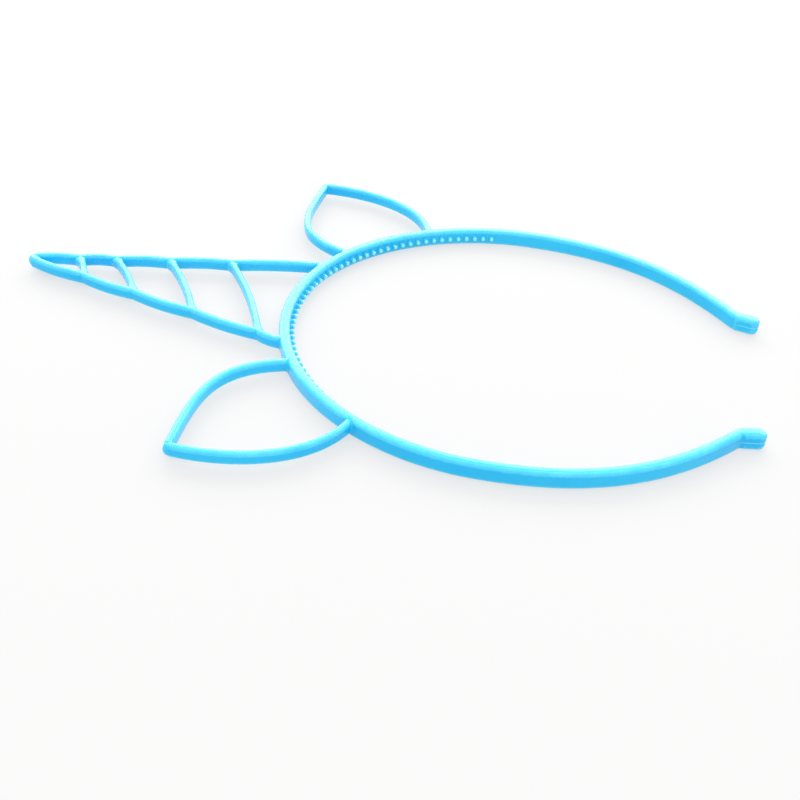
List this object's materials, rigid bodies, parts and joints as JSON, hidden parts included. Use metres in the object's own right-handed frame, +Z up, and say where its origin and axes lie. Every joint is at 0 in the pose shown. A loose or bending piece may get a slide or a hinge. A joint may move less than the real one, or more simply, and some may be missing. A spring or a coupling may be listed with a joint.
{
  "type": "unicorn horn headband",
  "caption": "Glossy one-piece plastic headband with an open lattice unicorn horn, leaf-shaped loop ears and a comb of teeth inside the band.",
  "frame": {"origin": "under the middle of the part's box, on the surface on which it lies flat", "axes": "+Z up through the band's depth, +Y from the arm tips towards the horn's tip, +X to the right-hand ear seen from above with the horn pointing away"},
  "size_m": [0.1456, 0.212, 0.0047],
  "materials": {
    "plastic": "glossy candy sky-blue injection-moulded plastic, slightly milky, with smooth rounded edges"
  },
  "bodies": {
    "root": {"headband": "plastic"}
  },
  "joints": []
}
